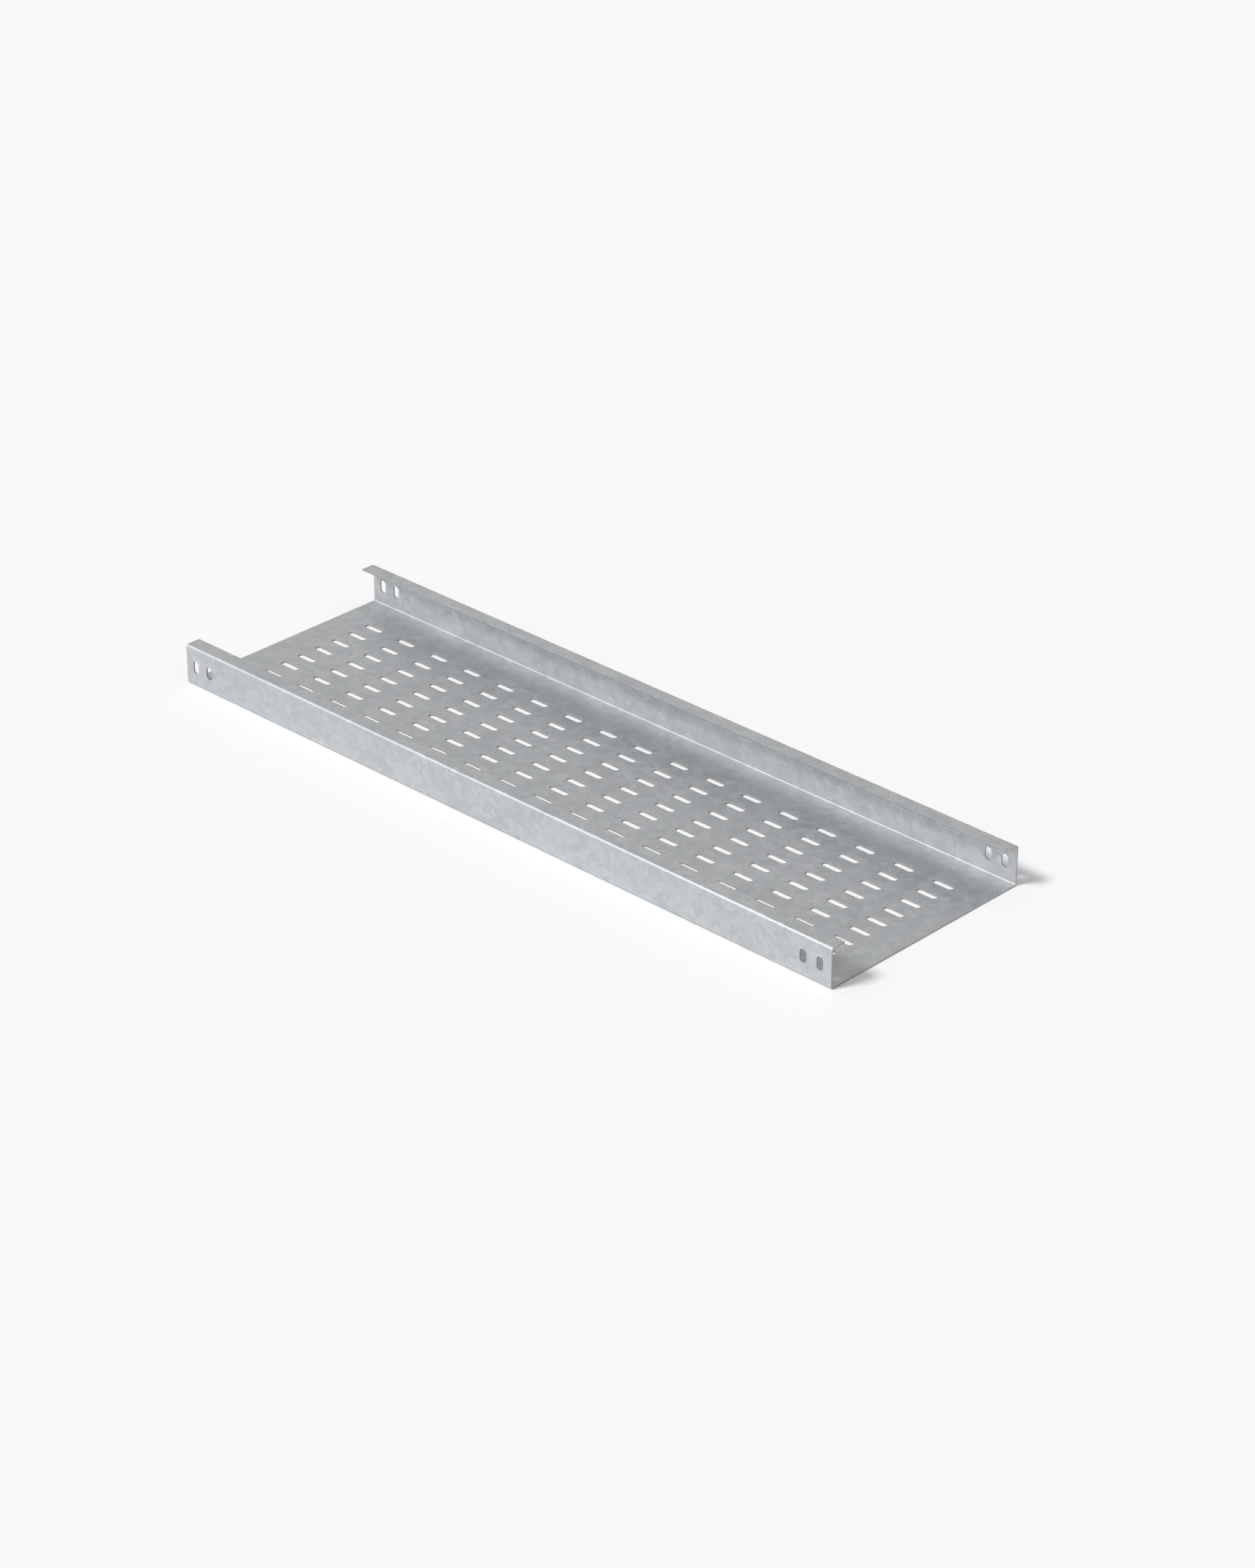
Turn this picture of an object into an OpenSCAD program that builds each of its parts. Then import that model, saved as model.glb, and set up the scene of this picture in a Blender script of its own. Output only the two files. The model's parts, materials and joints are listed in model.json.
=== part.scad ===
// Straight perforated cable tray, one sheet of galvanised steel.
// The sheet is folded four times: a flat floor, two upright walls and a flange
// along the top of each wall that turns inward. The floor is punched with rows
// of slots for cable ties and support bolts, and each wall has two upright
// slots at each end for the plates that join one tray to the next.
// X runs along the tray, Y across it and Z up. The origin is in the middle of
// the underside.

/* [Sheet] */
// Length of the tray, end to end
tray_l = 1000; // [400:1:3000]
// Width of the tray over the outside of its walls
tray_w = 300; // [200:1:600]
// Height of the walls, from the underside to the top of the flanges
wall_h = 50; // [40:0.5:110]
// Width of each top flange, from the outside of the wall to its free edge
flange_w = 20; // [10:0.5:40]
// Thickness of the sheet
sheet_t = 2; // [0.8:0.1:3]
// Radius of each fold on its inner side
fold_r = 2; // [0.5:0.1:4]

/* [Floor slots] */
// Length of a floor slot, end to end, along the tray
floor_slot_l = 27; // [14:0.5:34]
// Width of a floor slot
floor_slot_w = 8; // [5:0.5:12]
// Wanted distance between rows of slots, evened out to fit between the end margins
row_pitch = 55.5; // [42:0.5:90]
// Wanted distance between slots across the tray, evened out to fit between the side margins
column_pitch = 27; // [20:0.5:50]
// Distance from each end of the tray to the centres of the first row
end_margin = 56; // [25:0.5:90]
// Distance from the outside of each wall to the centres of the nearest column
side_margin = 55.5; // [30:0.5:75]

/* [Joint slots] */
// Width of a joint slot, along the tray
joint_slot_w = 9; // [6:0.5:12]
// Height of a joint slot, end to end
joint_slot_h = 16; // [13:0.5:24]
// Distance between the two joint slots at one end of a wall
joint_pitch = 23; // [15:0.5:60]
// Distance from the end of the tray to the centre of its first joint slot
joint_inset = 16; // [10:0.5:40]

/* [Hidden] */
// How far a cutting shape stands out of the sheet that it cuts
cut_over = 1;
// Number of segments in a circle
round_steps = 48;
// Height of the joint slots' centres: half way up the walls
joint_z = wall_h / 2;
// Spans between the outermost floor slots, and the whole number of gaps in each
row_span = tray_l - 2 * end_margin;
column_span = tray_w - 2 * side_margin;
row_gaps = max(1, round(row_span / row_pitch));
column_gaps = max(1, round(column_span / column_pitch));
// Places of the slots, even about the middle of the tray
row_x = [for (i = [0 : row_gaps]) (i / row_gaps - 0.5) * row_span];
column_y = [for (i = [0 : column_gaps]) (i / column_gaps - 0.5) * column_span];
first_joint_x = tray_l / 2 - joint_inset;
joint_x = [for (side = [-1, 1], i = [0, 1]) side * (first_joint_x - i * joint_pitch)];

// A round-ended slot outline about its centre, with its length along X
module slot(length, width) {
    straight = length - width;
    square([straight, width], center = true);
    for (side = [-1, 1])
        translate([side * straight / 2, 0])
            circle(d = width, $fn = round_steps);
}

// A rectangle about its centre with round corners
module round_rectangle(width, height, radius) {
    square([width - 2 * radius, height], center = true);
    square([width, height - 2 * radius], center = true);
    for (x = [-1, 1], y = [-1, 1])
        translate([x * (width / 2 - radius), y * (height / 2 - radius)])
            circle(r = radius, $fn = round_steps);
}

// The folded section as it is seen on the cut end of the tray
module section() {
    mouth_w = tray_w - 2 * flange_w;
    translate([0, wall_h / 2])
        difference() {
            round_rectangle(tray_w, wall_h, fold_r + sheet_t);
            round_rectangle(tray_w - 2 * sheet_t, wall_h - 2 * sheet_t, fold_r);
            translate([-mouth_w / 2, 0])
                square([mouth_w, wall_h / 2 + cut_over]);
        }
}

// The rows of slots through the floor
module floor_slots() {
    translate([0, 0, -cut_over])
        linear_extrude(height = sheet_t + 2 * cut_over)
            for (x = row_x, y = column_y)
                translate([x, y])
                    slot(floor_slot_l, floor_slot_w);
}

// The upright slots at the ends of both walls, cut straight across the tray
module joint_slots() {
    for (x = joint_x)
        translate([x, 0, joint_z])
            rotate([90, 90, 0])
                linear_extrude(height = tray_w + 2 * cut_over, center = true)
                    slot(joint_slot_h, joint_slot_w);
}

module tray() {
    color("lightgray")
        difference() {
            rotate([90, 0, 90])
                linear_extrude(height = tray_l, center = true)
                    section();
            floor_slots();
            joint_slots();
        }
}

tray();
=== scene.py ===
"""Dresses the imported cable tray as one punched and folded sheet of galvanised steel.

The sheet is laid out flat, punched and then folded four times. It stands on a pale studio floor.
"""
import json
import logging
import math
from dataclasses import dataclass, field
from enum import Enum

import bpy
import numpy as np
from mathutils import Matrix, Vector


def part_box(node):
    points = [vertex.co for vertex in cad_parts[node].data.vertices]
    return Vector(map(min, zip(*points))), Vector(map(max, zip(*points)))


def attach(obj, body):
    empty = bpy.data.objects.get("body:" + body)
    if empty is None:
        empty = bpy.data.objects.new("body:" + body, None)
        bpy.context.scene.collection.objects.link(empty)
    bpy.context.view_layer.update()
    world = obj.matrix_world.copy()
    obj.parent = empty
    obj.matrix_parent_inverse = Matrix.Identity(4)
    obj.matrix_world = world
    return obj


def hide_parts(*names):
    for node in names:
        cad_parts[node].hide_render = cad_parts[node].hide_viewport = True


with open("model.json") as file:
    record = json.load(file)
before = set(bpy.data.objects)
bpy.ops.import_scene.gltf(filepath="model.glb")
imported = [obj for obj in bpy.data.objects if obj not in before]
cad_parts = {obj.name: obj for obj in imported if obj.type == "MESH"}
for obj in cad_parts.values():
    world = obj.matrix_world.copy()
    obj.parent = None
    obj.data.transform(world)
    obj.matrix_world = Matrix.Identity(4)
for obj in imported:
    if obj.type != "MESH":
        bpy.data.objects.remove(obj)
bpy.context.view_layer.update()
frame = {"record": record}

log = logging.getLogger("cable_tray")
MM = 0.001
TRAY_NODE = "tray"
ROOT_BODY = "root"
BLANK_PLACE = "blank_place"
CUT_EDGE = "cut_edge"
# Grid lines closer than this count as one.
SAME_LINE = 0.01 * MM
# The mix node's two colour inputs. Their names are shared with its other inputs, so they go by number.
FIRST_COLOUR = 6
SECOND_COLOUR = 7

# A point, a direction or a size along three directions.
Place = tuple[float, float, float]
# Low u, low v, high u and high v: in metres, and as numbers of grid lines.
Rect = tuple[float, float, float, float]
Cell = tuple[int, int, int, int]
# The vertex at each crossing of two grid lines.
Grid = dict[tuple[int, int], int]
# A vertex's number, u and v.
Corner = tuple[int, float, float]
# A point on a cut edge: u, v and a direction across the edge.
EdgePoint = tuple[float, float, float, float]
# A step down a rounded edge: how far out, how high, and the surface's share out and along w.
RimStep = tuple[float, float, float, float]
Colour = tuple[float, float, float, float]
Socket = bpy.types.NodeSocket


class Side(Enum):
    """The two faces of the sheet, with the sign of their offset from its middle."""

    INNER = 1
    OUTER = -1


@dataclass(frozen=True)
class FoldedSection:
    """The tray's section: a floor, two walls and two flanges, flat along v until place() folds them.

    v runs across the flat blank from its middle. w stands off the middle of the sheet, towards the inside.
    """

    width: float
    height: float
    flange: float = 20 * MM
    thickness: float = 2 * MM
    fold_radius: float = 2 * MM

    @property
    def reach(self) -> float:
        """Distance that a fold takes from each of the two flats that it joins."""
        return self.fold_radius + self.thickness

    @property
    def arc_radius(self) -> float:
        """Radius of a fold at the middle of the sheet."""
        return self.fold_radius + self.thickness / 2

    @property
    def arc(self) -> float:
        """Length of a fold along the middle of the sheet."""
        return self.arc_radius * math.pi / 2

    @property
    def stations(self) -> tuple[float, float, float, float, float]:
        """Where the flats and the folds end.

        Returns:
            The ends of floor, lower fold, wall, upper fold and flange, along v from the floor's middle.
        """
        floor = self.width / 2 - self.reach
        lower = floor + self.arc
        wall = lower + self.height - 2 * self.reach
        upper = wall + self.arc
        return floor, lower, wall, upper, upper + self.flange - self.reach

    def wall_v(self, z: float) -> float:
        """Place along v of a point on the wall at height z."""
        return self.stations[1] + z - self.reach

    def place(self, v: float, w: float) -> tuple[float, float, tuple[float, float], tuple[float, float]]:
        """Folds a point of the blank.

        Args:
            v: place across the blank, in metres from its middle.
            w: height above the middle of the sheet, towards the inside.

        Returns:
            The point's y and z, the direction of v there and the direction of w there, as (y, z) pairs.
        """
        floor, lower, wall, upper, _ = self.stations
        side = 1.0 if v >= 0 else -1.0
        at = abs(v)
        middle = self.thickness / 2
        if at <= floor:
            y, z, turn = at, middle + w, 0.0
        elif at <= lower:
            turn = (at - floor) / self.arc_radius
            y = floor + (self.arc_radius - w) * math.sin(turn)
            z = self.reach - (self.arc_radius - w) * math.cos(turn)
        elif at <= wall:
            y, z, turn = self.width / 2 - middle - w, self.reach + at - lower, math.pi / 2
        elif at <= upper:
            turn = math.pi / 2 + (at - wall) / self.arc_radius
            y = floor + (self.arc_radius - w) * math.sin(turn)
            z = self.height - self.reach - (self.arc_radius - w) * math.cos(turn)
        else:
            y, z, turn = floor - (at - upper), self.height - middle - w, math.pi
        along = (math.cos(turn), side * math.sin(turn))
        inward = (-side * math.sin(turn), math.cos(turn))
        return side * y, z, along, inward


@dataclass(frozen=True)
class PunchedSlot:
    """A round-ended slot in the flat blank, and the rectangle of grid that is left open for it.

    u and v are its centre, and size its extent along them. cell is that rectangle's low and high corner.
    """

    u: float
    v: float
    size: tuple[float, float]
    cell: Rect

    def outline(self, steps: int) -> list[EdgePoint]:
        """Points round the slot's edge, anticlockwise.

        Args:
            steps: number of chords in each round end.

        Returns:
            For each point its u and v and the direction away from the slot, into the sheet.
        """
        radius = min(self.size) / 2
        straight = (max(self.size) - 2 * radius) / 2
        along_u = self.size[0] >= self.size[1]
        points = []
        for end in (1, -1):
            for i in range(steps + 1):
                angle = math.pi * (i / steps - 0.5) + (0 if end > 0 else math.pi)
                if not along_u:
                    angle += math.pi / 2
                out = (math.cos(angle), math.sin(angle))
                shift = end * straight
                centre = (self.u + shift, self.v) if along_u else (self.u, self.v + shift)
                points.append((centre[0] + radius * out[0], centre[1] + radius * out[1], *out))
        return points


@dataclass
class SheetMesh:
    """Vertices and faces of the sheet, gathered in blank coordinates and then folded."""

    section: FoldedSection
    verts: list[Place] = field(default_factory=list)
    normals: list[Place] = field(default_factory=list)
    cut: list[float] = field(default_factory=list)
    faces: list[tuple[int, ...]] = field(default_factory=list)

    def add(self, place: Place, normal: Place, cut: float = 0.0) -> int:
        """Adds a vertex.

        Args:
            place: u, v and w.
            normal: the surface's direction there, in u, v and w.
            cut: 1 on a sheared edge, 0 on the rolled faces.

        Returns:
            The vertex's number.
        """
        self.verts.append(place)
        self.normals.append(normal)
        self.cut.append(cut)
        return len(self.verts) - 1

    def face(self, corners: tuple[int, ...], flip: bool) -> None:
        """Adds a face, turned over when flip is true."""
        self.faces.append(tuple(reversed(corners)) if flip else tuple(corners))

    def folded(self) -> tuple[np.ndarray, np.ndarray]:
        """Folds the blank.

        Returns:
            The places and the surface directions of the vertices, in the tray's frame.
        """
        places, directions = [], []
        for (u, v, w), (nu, nv, nw) in zip(self.verts, self.normals):
            y, z, along, inward = self.section.place(v, w)
            places.append((u, y, z))
            normal = np.array((nu, nv * along[0] + nw * inward[0], nv * along[1] + nw * inward[1]))
            directions.append(normal / np.linalg.norm(normal))
        return np.array(places), np.array(directions)

    def to_object(self, name: str) -> bpy.types.Object:
        """Makes the folded mesh.

        Args:
            name: the piece's name.

        Returns:
            The piece, linked to the scene, with its blank coordinates and its sheared edges as attributes.
        """
        places, directions = self.folded()
        mesh = bpy.data.meshes.new(name)
        mesh.from_pydata(places.tolist(), [], self.faces)
        blank = mesh.attributes.new(BLANK_PLACE, "FLOAT_VECTOR", "POINT")
        blank.data.foreach_set("vector", np.array(self.verts, np.float32).ravel())
        edge = mesh.attributes.new(CUT_EDGE, "FLOAT", "POINT")
        edge.data.foreach_set("value", np.array(self.cut, np.float32))
        mesh.shade_smooth()
        mesh.normals_split_custom_set_from_vertices(directions.tolist())
        mesh.validate()
        piece = bpy.data.objects.new(name, mesh)
        bpy.context.scene.collection.objects.link(piece)
        return piece


@dataclass
class TraySheet:
    """The whole tray: a flat blank with its slots punched, folded four times."""

    section: FoldedSection
    length: float
    floor_slot: tuple[float, float]
    floor_span: tuple[float, float]
    row_pitch: float = 55.5 * MM
    column_pitch: float = 27 * MM
    joint_slot: tuple[float, float] = (9 * MM, 16 * MM)
    joint_pitch: float = 23 * MM
    joint_inset: float = 16 * MM
    joint_margin: float = 5 * MM
    edge_round: float = 0.25 * MM
    edge_steps: int = 3
    fold_steps: int = 10
    end_steps: int = 12

    def floor_slots(self) -> list[PunchedSlot]:
        """Sets out the floor's slots, even about its middle.

        Returns:
            The slots, row by row.
        """
        rows = round(self.floor_span[0] / self.row_pitch) + 1
        columns = round(self.floor_span[1] / self.column_pitch) + 1
        slots = []
        for i in range(rows):
            u = (i - (rows - 1) / 2) * self.row_pitch
            for j in range(columns):
                v = (j - (columns - 1) / 2) * self.column_pitch
                half = (self.row_pitch / 2, self.column_pitch / 2)
                cell = (u - half[0], v - half[1], u + half[0], v + half[1])
                slots.append(PunchedSlot(u, v, self.floor_slot, cell))
        return slots

    def joint_slots(self) -> list[PunchedSlot]:
        """Sets out the two upright slots at each end of each wall.

        Returns:
            The slots, end by end.
        """
        slots = []
        rise = self.joint_slot[1] / 2 + self.joint_margin
        for end in (-1, 1):
            for side in (-1, 1):
                v = side * self.section.wall_v(self.section.height / 2)
                for k in (0, 1):
                    u = end * (self.length / 2 - self.joint_inset - k * self.joint_pitch)
                    half = self.joint_pitch / 2
                    cell = (u - half, v - rise, u + half, v + rise)
                    slots.append(PunchedSlot(u, v, self.joint_slot, cell))
        return slots

    def lines(self, slots: list[PunchedSlot]) -> tuple[list[float], list[float]]:
        """Sets out the grid that the sheet's faces are laid on.

        Args:
            slots: the slots, whose cells end on lines.

        Returns:
            The places of the lines along u and along v, in order.
        """
        floor, lower, wall, upper, edge = self.section.stations
        across = [floor, lower, wall, upper, edge - self.edge_round]
        for start in (floor, wall):
            across += [start + self.section.arc * k / self.fold_steps for k in range(1, self.fold_steps)]
        across += [-v for v in across] + [v for s in slots for v in (s.cell[1], s.cell[3])]
        end = self.length / 2 - self.edge_round
        along = [-end, end] + [u for s in slots for u in (s.cell[0], s.cell[2])]
        return merged(along), merged(across)

    def build(self) -> bpy.types.Object:
        """Builds the sheet's two faces, the slots' rims and the outer rim.

        Returns:
            The finished piece, with no material yet.
        """
        slots = self.floor_slots() + self.joint_slots()
        us, vs = self.lines(slots)
        sheet = SheetMesh(self.section)
        cells = [cell_range(s.cell, us, vs) for s in slots]
        punched = {(i, j) for c in cells for i in range(c[0], c[2]) for j in range(c[1], c[3])}
        grids = {side: self.surface(sheet, side, us, vs, cells, punched) for side in Side}
        for slot, cell in zip(slots, cells):
            self.punch(sheet, slot, cell, grids, us, vs)
        self.outer_rim(sheet, grids, us, vs)
        counts = len(slots), len(sheet.verts), len(sheet.faces)
        log.info("tray_sheet: %d slots, %d vertices, %d faces", *counts)
        return sheet.to_object("tray_sheet")

    def surface(self, sheet: SheetMesh, side: Side, us: list[float], vs: list[float],
                cells: list[Cell], punched: set[tuple[int, int]]) -> Grid:
        """Lays one face of the sheet as a grid, with the slots' cells left open.

        Args:
            sheet: the mesh that is being gathered.
            side: the face to lay.
            us: the lines along u.
            vs: the lines along v.
            cells: the slots' cells, as the numbers of their lines.
            punched: the grid's squares that lie in a cell.

        Returns:
            The vertex at each crossing of two lines.
        """
        inside = {(i, j) for c in cells for i in range(c[0] + 1, c[2]) for j in range(c[1] + 1, c[3])}
        w = side.value * self.section.thickness / 2
        grid = {}
        for i, u in enumerate(us):
            for j, v in enumerate(vs):
                if (i, j) not in inside:
                    grid[i, j] = sheet.add((u, v, w), (0, 0, side.value))
        for i in range(len(us) - 1):
            for j in range(len(vs) - 1):
                if (i, j) not in punched:
                    corners = (grid[i, j], grid[i + 1, j], grid[i + 1, j + 1], grid[i, j + 1])
                    sheet.face(corners, side is Side.OUTER)
        return grid

    def rim_rows(self) -> list[RimStep]:
        """The steps of a cut edge through the sheet, from the inner face to the outer one.

        Returns:
            For each step how far it stands out of the rounding's start, its height above the middle of the
            sheet, and the surface's share out of the edge and along w.
        """
        half, edge = self.section.thickness / 2, self.edge_round
        rows = []
        for side in Side:
            turns = [math.pi / 2 * k / self.edge_steps for k in range(self.edge_steps + 1)]
            part = [(edge * math.sin(a), side.value * (half - edge + edge * math.cos(a)),
                     math.sin(a), side.value * math.cos(a)) for a in turns]
            rows += part if side is Side.INNER else part[::-1]
        return rows

    def rim(self, sheet: SheetMesh, base: list[EdgePoint], first: list[int], last: list[int]) -> None:
        """Closes a cut edge between the two faces.

        Args:
            sheet: the mesh that is being gathered.
            base: for each point of the loop, the u and v where its rounding starts and the way out.
            first: the loop's vertices on the inner face.
            last: the loop's vertices on the outer face.
        """
        rows = self.rim_rows()
        loops = [first]
        for out, w, share, lean in rows[1:-1]:
            loop = []
            for u, v, mu, mv in base:
                size = math.hypot(mu, mv)
                normal = (share * mu / size, share * mv / size, lean)
                loop.append(sheet.add((u + out * mu, v + out * mv, w), normal, share))
            loops.append(loop)
        loops.append(last)
        count = len(base)
        for upper, lower in zip(loops, loops[1:]):
            for k in range(count):
                n = (k + 1) % count
                sheet.face((upper[k], lower[k], lower[n], upper[n]), False)

    def punch(self, sheet: SheetMesh, slot: PunchedSlot, cell: Cell, grids: dict[Side, Grid],
              us: list[float], vs: list[float]) -> None:
        """Fills a slot's cell round the slot on both faces, and makes the slot's rim.

        Args:
            sheet: the mesh that is being gathered.
            slot: the slot.
            cell: the numbers of the lines that bound its cell.
            grids: the vertices of both faces.
            us: the lines along u.
            vs: the lines along v.
        """
        i0, j0, i1, j1 = cell
        border = [(i, j0) for i in range(i0, i1)] + [(i1, j) for j in range(j0, j1)]
        border += [(i, j1) for i in range(i1, i0, -1)] + [(i0, j) for j in range(j1, j0, -1)]
        edge = self.edge_round
        base = [(u + edge * mu, v + edge * mv, -mu, -mv) for u, v, mu, mv in slot.outline(self.end_steps)]
        loops = {}
        for side in Side:
            w = side.value * self.section.thickness / 2
            loop = [sheet.add((u, v, w), (0, 0, side.value)) for u, v, _, _ in base]
            outer = [(grids[side][ij], us[ij[0]], vs[ij[1]]) for ij in border]
            inner = [(n, u, v) for n, (u, v, _, _) in zip(loop, base)]
            for triangle in zipped(inner, outer):
                sheet.face(triangle, side is Side.OUTER)
            loops[side] = loop
        self.rim(sheet, base[::-1], loops[Side.INNER][::-1], loops[Side.OUTER][::-1])

    def outer_rim(self, sheet: SheetMesh, grids: dict[Side, Grid], us: list[float],
                  vs: list[float]) -> None:
        """Closes the sheet's outer edge: both cut ends and both flanges' free edges.

        Args:
            sheet: the mesh that is being gathered.
            grids: the vertices of both faces.
            us: the lines along u.
            vs: the lines along v.
        """
        right, top = len(us) - 1, len(vs) - 1
        border = [(i, 0) for i in range(right)] + [(right, j) for j in range(top)]
        border += [(i, top) for i in range(right, 0, -1)] + [(0, j) for j in range(top, 0, -1)]
        base = []
        for i, j in border:
            out_u = (i == right) - (i == 0)
            out_v = (j == top) - (j == 0)
            base.append((us[i], vs[j], float(out_u), float(out_v)))
        inner, outer = ([grids[side][ij] for ij in border] for side in Side)
        self.rim(sheet, base, inner, outer)


def merged(values: list[float]) -> list[float]:
    """Puts lines in order and drops doubles.

    Args:
        values: the lines' places, in any order.

    Returns:
        The places in order, with those under SAME_LINE apart merged.
    """
    kept: list[float] = []
    for value in sorted(values):
        if not kept or value - kept[-1] > SAME_LINE:
            kept.append(value)
    return kept


def cell_range(cell: Rect, us: list[float], vs: list[float]) -> Cell:
    """Finds a cell's lines.

    Args:
        cell: the low and high corner.
        us: the lines along u.
        vs: the lines along v.

    Returns:
        The numbers of the lines at its low u, low v, high u and high v.
    """
    def nearest(lines: list[float], value: float) -> int:
        """The number of the line nearest to value."""
        return min(range(len(lines)), key=lambda k: abs(lines[k] - value))

    return nearest(us, cell[0]), nearest(vs, cell[1]), nearest(us, cell[2]), nearest(vs, cell[3])


def zipped(inner: list[Corner], outer: list[Corner]) -> list[tuple[int, int, int]]:
    """Fills the ring between two loops with triangles, across the shorter gap where neither turns over.

    Args:
        inner: number, u and v of each point of the inner loop, anticlockwise.
        outer: the same for the outer loop.

    Returns:
        The triangles, anticlockwise.
    """
    def gap(a: Corner, b: Corner) -> float:
        """Distance between two points."""
        return math.hypot(a[1] - b[1], a[2] - b[2])

    def faces_up(a: Corner, b: Corner, c: Corner) -> bool:
        """Whether three points go round anticlockwise."""
        return (b[1] - a[1]) * (c[2] - a[2]) - (b[2] - a[2]) * (c[1] - a[1]) > 0

    start = min(range(len(inner)), key=lambda k: gap(inner[k], outer[0]))
    ring = inner[start:] + inner[:start + 1]
    fence = outer + outer[:1]
    triangles = []
    i = j = 0
    while i < len(inner) or j < len(outer):
        along_ring = j == len(outer)
        if i < len(inner) and j < len(outer):
            nearer = gap(ring[i + 1], fence[j]) <= gap(ring[i], fence[j + 1])
            covers_hole = not faces_up(ring[i], fence[j + 1], ring[i + 1])
            along_ring = (nearer or covers_hole) and faces_up(ring[i], fence[j], ring[i + 1])
        if along_ring:
            triangles.append((ring[i][0], fence[j][0], ring[i + 1][0]))
            i += 1
        else:
            triangles.append((ring[i][0], fence[j][0], fence[j + 1][0]))
            j += 1
    return triangles


@dataclass(frozen=True)
class Grain:
    """Soft noise: a blotch's size along the blank's three directions, and how many finer layers it has."""

    pitch: Place
    detail: float


@dataclass
class NodeBench:
    """Makes and joins the nodes of one material.

    noise_range is the part of the raw noise that is spread over 0 to 1.
    """

    tree: bpy.types.NodeTree
    noise_range: tuple[float, float] = (0.3, 0.7)

    def node(self, kind: str, **settings: object) -> bpy.types.Node:
        """Adds a node.

        Args:
            kind: the node's type.
            settings: the properties to set on it.

        Returns:
            The node.
        """
        made = self.tree.nodes.new(kind)
        for key, value in settings.items():
            setattr(made, key, value)
        return made

    def join(self, source: Socket, target: Socket) -> None:
        """Links an output to an input."""
        self.tree.links.new(source, target)

    def spread(self, source: Socket, low: float, high: float,
               start: float = 0.0, end: float = 1.0) -> Socket:
        """Maps start..end of source to low..high.

        Args:
            source: the value to map.
            low: the result at start.
            high: the result at end.
            start: the source's value that gives low.
            end: the source's value that gives high.

        Returns:
            The mapped value.
        """
        made = self.node("ShaderNodeMapRange")
        for key, value in (("From Min", start), ("From Max", end), ("To Min", low), ("To Max", high)):
            made.inputs[key].default_value = value
        self.join(source, made.inputs["Value"])
        return made.outputs["Result"]

    def larger(self, first: Socket, second: Socket) -> Socket:
        """Picks the larger of two values.

        Args:
            first: one value.
            second: the other.

        Returns:
            The larger value.
        """
        made = self.node("ShaderNodeMath", operation="MAXIMUM")
        self.join(first, made.inputs[0])
        self.join(second, made.inputs[1])
        return made.outputs[0]

    def stretched(self, place: Socket, scale: Place) -> Socket:
        """Scales a place along its three directions.

        Args:
            place: the place.
            scale: the factor for each direction.

        Returns:
            The scaled place.
        """
        made = self.node("ShaderNodeVectorMath", operation="MULTIPLY")
        self.join(place, made.inputs[0])
        made.inputs[1].default_value = scale
        return made.outputs[0]

    def noise(self, place: Socket, grain: Grain) -> Socket:
        """Adds soft noise.

        Args:
            place: the place on the blank.
            grain: the size and the detail of its blotches.

        Returns:
            The noise, from 0 to 1.
        """
        made = self.node("ShaderNodeTexNoise")
        self.join(self.stretched(place, tuple(1 / size for size in grain.pitch)), made.inputs["Vector"])
        made.inputs["Scale"].default_value = 1.0
        made.inputs["Detail"].default_value = grain.detail
        return self.spread(made.outputs["Fac"], 0.0, 1.0, *self.noise_range)

    def weighed(self, parts: list[tuple[Socket, float]]) -> Socket:
        """Adds values up.

        Args:
            parts: the values, each with its weight.

        Returns:
            The sum of the values, each times its weight.
        """
        total = None
        for source, weight in parts:
            step = self.node("ShaderNodeMath", operation="MULTIPLY_ADD")
            self.join(source, step.inputs[0])
            step.inputs[1].default_value = weight
            step.inputs[2].default_value = 0.0
            if total is not None:
                self.join(total, step.inputs[2])
            total = step.outputs[0]
        return total


@dataclass(frozen=True)
class Crystals:
    """What the shader knows of the zinc's crystals, each from 0 to 1."""

    tone: Socket
    dullness: Socket
    needles: Socket
    border: Socket
    small: Socket


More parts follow.
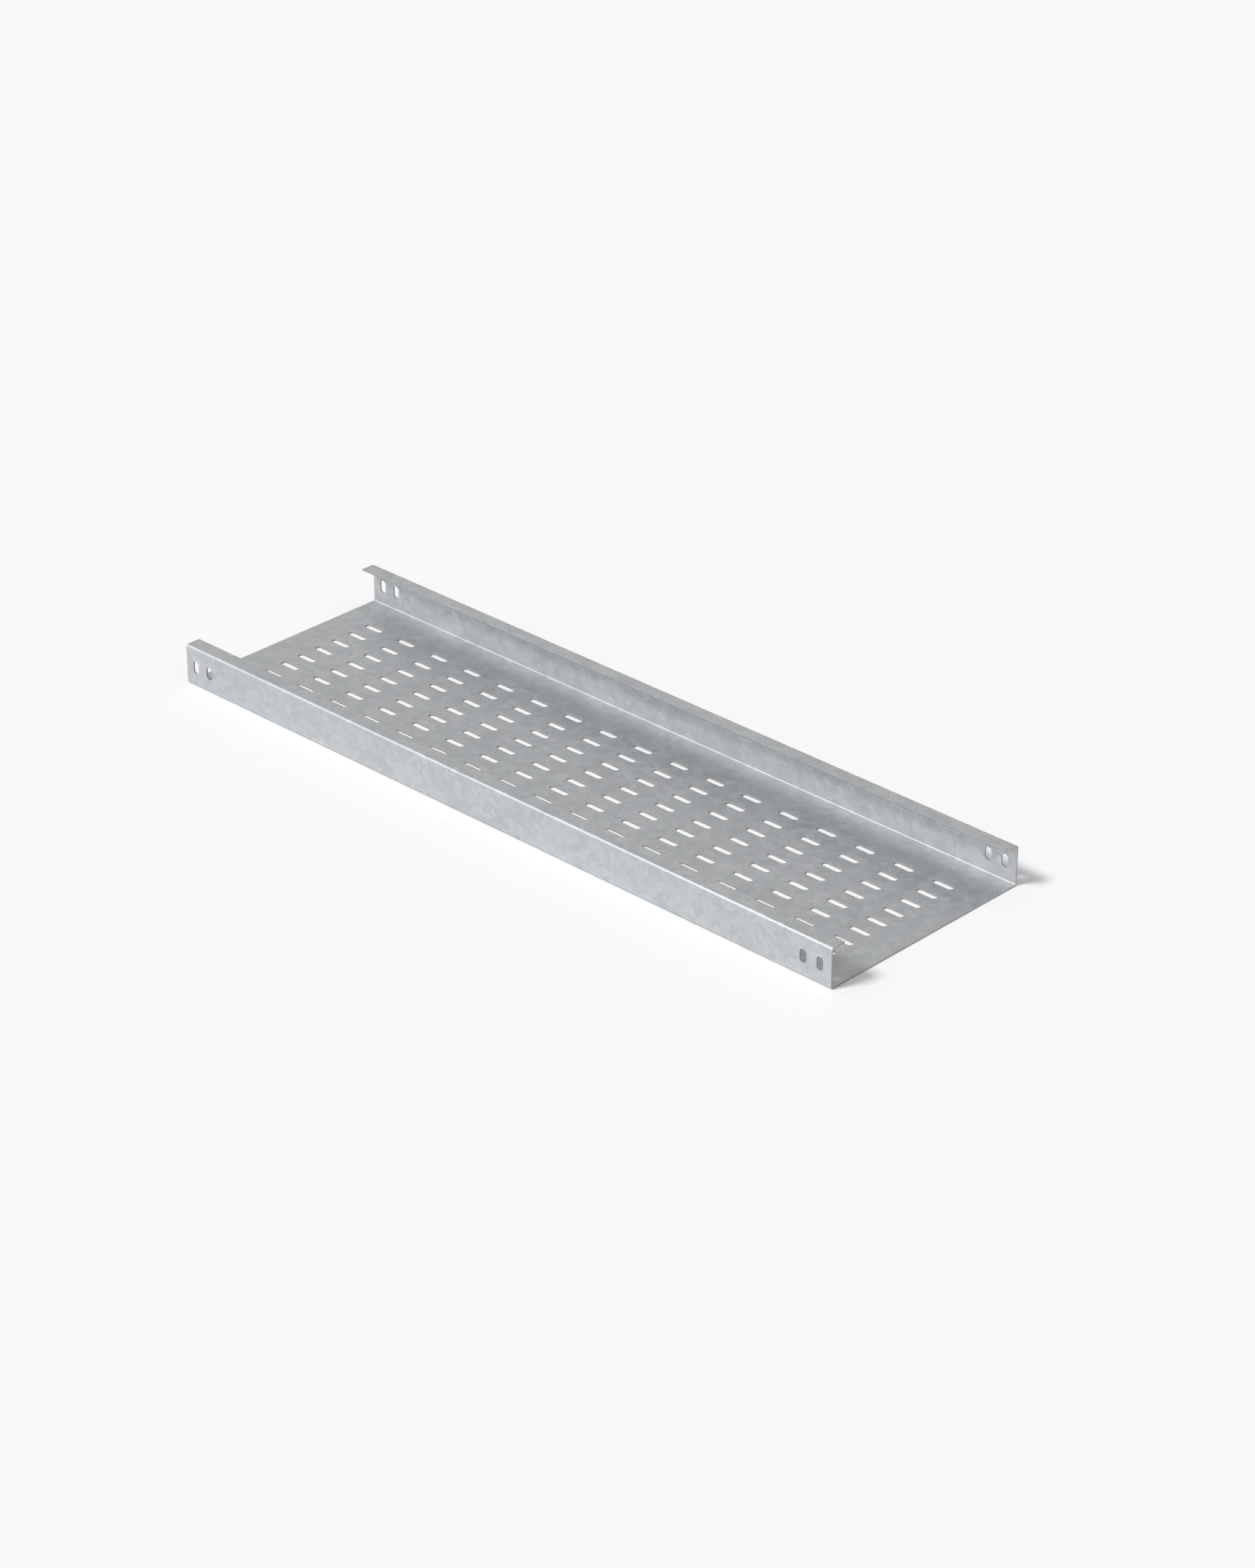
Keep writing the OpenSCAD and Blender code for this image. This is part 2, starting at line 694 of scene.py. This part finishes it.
@dataclass(frozen=True)
class GalvanisedFinish:
    """Hot-dipped zinc on rolled sheet: feathered crystals, faint rolling lines, bare steel at every cut.

    The shares say how much each pattern counts in the zinc's tone, and add up to 1. The reliefs are heights.
    cut_from is how far round a sheared edge the bare steel starts, from 0 on the face to 1 in the cut.
    """

    name: str = "galvanised_steel"
    dark_zinc: Colour = (0.44, 0.455, 0.47, 1)
    pale_zinc: Colour = (0.64, 0.655, 0.67, 1)
    cut_steel: Colour = (0.36, 0.36, 0.36, 1)
    cut_cover: float = 0.85
    cut_from: float = 0.5
    metallic: float = 0.75
    crystal: float = 9 * MM
    small_crystal: float = 3 * MM
    raggedness: float = 0.22
    wanders_per_crystal: float = 2.0
    wander_detail: float = 3.0
    border_width: float = 0.3 * MM
    needle: Grain = Grain((0.7 * MM, 9 * MM, 9 * MM), 2.0)
    line: Grain = Grain((160 * MM, 1.1 * MM, 1.1 * MM), 3.0)
    cloud: Grain = Grain((90 * MM, 60 * MM, 60 * MM), 3.0)
    wave: Grain = Grain((200 * MM, 120 * MM, 120 * MM), 1.0)
    crystal_share: float = 0.36
    small_share: float = 0.14
    needle_share: float = 0.18
    cloud_share: float = 0.20
    line_share: float = 0.12
    border_shade: float = -0.16
    roughness: tuple[float, float] = (0.38, 0.54)
    needle_dulling: float = 0.05
    crystal_relief: float = 0.010 * MM
    needle_relief: float = 0.004 * MM
    line_relief: float = 0.005 * MM
    wave_relief: float = 0.35 * MM

    def material(self) -> bpy.types.Material:
        """Builds the node tree.

        Returns:
            The finished material.
        """
        made = bpy.data.materials.new(self.name)
        made.use_nodes = True
        bench = NodeBench(made.node_tree)
        shader = made.node_tree.nodes["Principled BSDF"]
        shader.inputs["Metallic"].default_value = self.metallic
        place = bench.node("ShaderNodeAttribute", attribute_name=BLANK_PLACE).outputs["Vector"]
        cut = bench.node("ShaderNodeAttribute", attribute_name=CUT_EDGE).outputs["Fac"]
        crystals = self.crystals(bench, place)
        lines = bench.noise(place, self.line)
        shade = bench.weighed([
            (crystals.tone, self.crystal_share),
            (crystals.small, self.small_share),
            (crystals.needles, self.needle_share),
            (bench.noise(place, self.cloud), self.cloud_share),
            (lines, self.line_share),
            (crystals.border, self.border_shade),
        ])
        bench.join(self.colour(bench, shade, cut), shader.inputs["Base Color"])
        low, high = self.roughness
        dull = bench.spread(crystals.dullness, low, high)
        rough = bench.weighed([(dull, 1.0), (crystals.needles, self.needle_dulling)])
        bench.join(rough, shader.inputs["Roughness"])
        heights = [
            (bench.noise(place, self.wave), self.wave_relief),
            (crystals.tone, self.crystal_relief),
            (crystals.needles, self.needle_relief),
            (lines, self.line_relief),
        ]
        bench.join(self.relief(bench, heights), shader.inputs["Normal"])
        return made

    def crystals(self, bench: NodeBench, place: Socket) -> Crystals:
        """Grows the zinc's crystals: large ones with ragged borders and fine needles, and small ones.

        Args:
            bench: the material's nodes.
            place: the place on the blank.

        Returns:
            The crystals' patterns.
        """
        wander = bench.node("ShaderNodeTexNoise")
        bench.join(place, wander.inputs["Vector"])
        wander.inputs["Scale"].default_value = self.wanders_per_crystal / self.crystal
        wander.inputs["Detail"].default_value = self.wander_detail
        ragged = bench.node("ShaderNodeVectorMath", operation="MULTIPLY_ADD")
        bench.join(wander.outputs["Color"], ragged.inputs[0])
        ragged.inputs[1].default_value = (self.raggedness * self.crystal,) * 3
        bench.join(place, ragged.inputs[2])
        large = self.cells(bench, ragged.outputs[0], self.crystal, "F1")
        small = self.cells(bench, ragged.outputs[0], self.small_crystal, "F1")
        edges = self.cells(bench, ragged.outputs[0], self.crystal, "DISTANCE_TO_EDGE")
        border = bench.spread(edges.outputs["Distance"], 1.0, 0.0, end=self.border_width / self.crystal)
        parts = bench.node("ShaderNodeSeparateColor")
        bench.join(large.outputs["Color"], parts.inputs[0])
        tone, dullness, lie = parts.outputs
        turned = bench.node("ShaderNodeVectorRotate", rotation_type="Z_AXIS")
        bench.join(place, turned.inputs["Vector"])
        bench.join(bench.spread(lie, 0.0, math.pi), turned.inputs["Angle"])
        small_parts = bench.node("ShaderNodeSeparateColor")
        bench.join(small.outputs["Color"], small_parts.inputs[0])
        return Crystals(
            tone=tone,
            dullness=dullness,
            needles=bench.noise(turned.outputs["Vector"], self.needle),
            border=border,
            small=small_parts.outputs[0],
        )

    def cells(self, bench: NodeBench, place: Socket, size: float, feature: str) -> bpy.types.Node:
        """Adds a pattern of cells.

        Args:
            bench: the material's nodes.
            place: the place on the blank.
            size: a cell's size, more or less.
            feature: what the node measures in each cell.

        Returns:
            The pattern's node.
        """
        made = bench.node("ShaderNodeTexVoronoi", voronoi_dimensions="3D", feature=feature)
        bench.join(place, made.inputs["Vector"])
        made.inputs["Scale"].default_value = 1 / size
        return made

    def colour(self, bench: NodeBench, shade: Socket, cut: Socket) -> Socket:
        """Colours the sheet: zinc, and bare steel on the sheared edges.

        Args:
            bench: the material's nodes.
            shade: the zinc's shade, from dark to pale.
            cut: 1 on a sheared edge, 0 on the rolled faces.

        Returns:
            The colour.
        """
        zinc = self.mixed(bench, shade, self.dark_zinc, self.pale_zinc)
        bare = bench.spread(cut, 0.0, self.cut_cover, start=self.cut_from)
        return self.mixed(bench, bare, zinc, self.cut_steel)

    def mixed(self, bench: NodeBench, share: Socket, first: Socket | Colour, second: Colour) -> Socket:
        """Mixes two colours.

        Args:
            bench: the material's nodes.
            share: how much of the second shows.
            first: the first colour, or the output that gives it.
            second: the second colour.

        Returns:
            The mixed colour.
        """
        mix = bench.node("ShaderNodeMix", data_type="RGBA")
        bench.join(share, mix.inputs["Factor"])
        if isinstance(first, Socket):
            bench.join(first, mix.inputs[FIRST_COLOUR])
        else:
            mix.inputs[FIRST_COLOUR].default_value = first
        mix.inputs[SECOND_COLOUR].default_value = second
        return mix.outputs[2]

    def relief(self, bench: NodeBench, heights: list[tuple[Socket, float]]) -> Socket:
        """Raises the surface by several patterns, one on the other.

        Args:
            bench: the material's nodes.
            heights: the patterns, from 0 to 1, each with its depth in metres.

        Returns:
            The surface's direction.
        """
        normal = None
        for height, depth in heights:
            bump = bench.node("ShaderNodeBump")
            bump.inputs["Distance"].default_value = depth
            bench.join(height, bump.inputs["Height"])
            if normal is not None:
                bench.join(normal, bump.inputs["Normal"])
            normal = bump.outputs["Normal"]
        return normal


@dataclass(frozen=True)
class CameraView:
    """The drawing's viewpoint, about the middle of the tray's underside.

    Angles are in degrees and distances in metres. The lens and the sensor are in millimetres.
    """

    azimuth: float = 43.84
    elevation: float = 28.47
    distance: float = 4.874
    right: float = 0.0480
    up: float = -0.0048
    lens: float = 100.0
    sensor: float = 36.0
    farthest: float = 200.0

    def build(self) -> bpy.types.Object:
        """Makes the camera.

        Returns:
            The camera, set as the scene's own.
        """
        a = math.radians(self.azimuth)
        e = math.radians(self.elevation)
        back = Vector((math.sin(a) * math.cos(e), -math.cos(a) * math.cos(e), math.sin(e)))
        right = Vector((math.cos(a), math.sin(a), 0))
        up = back.cross(right)
        data = bpy.data.cameras.new("studio_camera")
        data.lens = self.lens
        data.sensor_width = self.sensor
        data.clip_end = self.farthest
        camera = bpy.data.objects.new("studio_camera", data)
        turn = Matrix((right, up, back)).transposed().to_4x4()
        place = right * self.right + up * self.up + back * self.distance
        camera.matrix_world = Matrix.Translation(place) @ turn
        bpy.context.scene.collection.objects.link(camera)
        bpy.context.scene.camera = camera
        return camera


@dataclass(frozen=True)
class Studio:
    """A pale floor, a pale surround and one broad lamp.

    What is seen of the surround, by eye or in the metal, falls from surround_seen at the horizon to
    surround_light at dim_height, as a share of straight up. key_spread is in degrees.
    """

    floor_size: float = 90.0
    floor_colour: Colour = (0.93, 0.93, 0.93, 1)
    floor_roughness: float = 0.9
    surround: Colour = (1.0, 1.0, 1.0, 1)
    surround_light: float = 0.50
    surround_seen: float = 0.98
    dim_height: float = 0.6
    key_strength: float = 2.16
    key_from: tuple[float, float, float] = (-0.45, -1.0, 1.3)
    key_spread: float = 16.0

    def floor(self) -> bpy.types.Object:
        """Lays the floor under the tray.

        Returns:
            The floor.
        """
        half = self.floor_size / 2
        mesh = bpy.data.meshes.new("studio_floor")
        corners = [(-half, -half, 0), (half, -half, 0), (half, half, 0), (-half, half, 0)]
        mesh.from_pydata(corners, [], [range(len(corners))])
        floor = bpy.data.objects.new("studio_floor", mesh)
        bpy.context.scene.collection.objects.link(floor)
        paper = bpy.data.materials.new("studio_paper")
        paper.use_nodes = True
        shader = paper.node_tree.nodes["Principled BSDF"]
        shader.inputs["Base Color"].default_value = self.floor_colour
        shader.inputs["Roughness"].default_value = self.floor_roughness
        mesh.materials.append(paper)
        return floor

    def world(self) -> bpy.types.World:
        """Sets the surround: pale where it is seen, also in the metal, and an even fill light.

        Returns:
            The surround, set as the scene's own.
        """
        world = bpy.data.worlds.new("studio_surround")
        bpy.context.scene.world = world
        world.use_nodes = True
        bench = NodeBench(world.node_tree)
        background = world.node_tree.nodes["Background"]
        background.inputs["Color"].default_value = self.surround
        path = bench.node("ShaderNodeLightPath")
        seen = path.outputs["Is Camera Ray"]
        for kind in ("Is Glossy Ray", "Is Transmission Ray"):
            seen = bench.larger(seen, path.outputs[kind])
        rise = bench.node("ShaderNodeSeparateXYZ")
        bench.join(bench.node("ShaderNodeTexCoord").outputs["Generated"], rise.inputs[0])
        ends = self.surround_seen, self.surround_light
        shown = bench.spread(rise.outputs["Z"], *ends, end=self.dim_height)
        strength = bench.node("ShaderNodeMix", data_type="FLOAT")
        bench.join(seen, strength.inputs["Factor"])
        strength.inputs["A"].default_value = self.surround_light
        bench.join(shown, strength.inputs["B"])
        bench.join(strength.outputs["Result"], background.inputs["Strength"])
        return world

    def key_lamp(self) -> bpy.types.Object:
        """Hangs the lamp.

        Returns:
            The lamp.
        """
        data = bpy.data.lights.new("key_lamp", "SUN")
        data.energy = self.key_strength
        data.angle = math.radians(self.key_spread)
        lamp = bpy.data.objects.new("key_lamp", data)
        lamp.rotation_euler = Vector(self.key_from).to_track_quat("Z", "Y").to_euler()
        bpy.context.scene.collection.objects.link(lamp)
        return lamp

    def build(self) -> None:
        """Builds the studio and reports each part of it."""
        log.info("%s: %.0f m wide", self.floor().name, self.floor_size)
        log.info("%s: %.2f bright", self.world().name, self.surround_light)
        log.info("%s: %.0f degrees wide", self.key_lamp().name, self.key_spread)
        bpy.context.scene.view_settings.view_transform = "Standard"


def mount_dims(name: str) -> dict[str, float]:
    """The stated sizes of one of the record's mounts, in millimetres."""
    return next(m["dims"] for m in frame["record"]["mounts"] if m["name"] == name)


def main() -> None:
    """Builds the camera, the studio and the tray, and reports each."""
    logging.basicConfig(level=logging.INFO, format="%(name)s %(message)s")
    camera = CameraView().build()
    log.info("%s: %.0f mm lens", camera.name, camera.data.lens)
    Studio().build()
    low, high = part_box(TRAY_NODE)
    slots = mount_dims("support_slots")
    section = FoldedSection(width=high.y - low.y, height=high.z - low.z)
    tray = TraySheet(
        section=section,
        length=high.x - low.x,
        floor_slot=(slots["slot_length_mm"] * MM, 2 * slots["hole_r_mm"] * MM),
        floor_span=(slots["spacing_x_mm"] * MM, slots["spacing_y_mm"] * MM),
    )
    piece = tray.build()
    piece.data.materials.append(GalvanisedFinish().material())
    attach(piece, ROOT_BODY)
    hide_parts(TRAY_NODE)


if __name__ == "__main__":
    main()
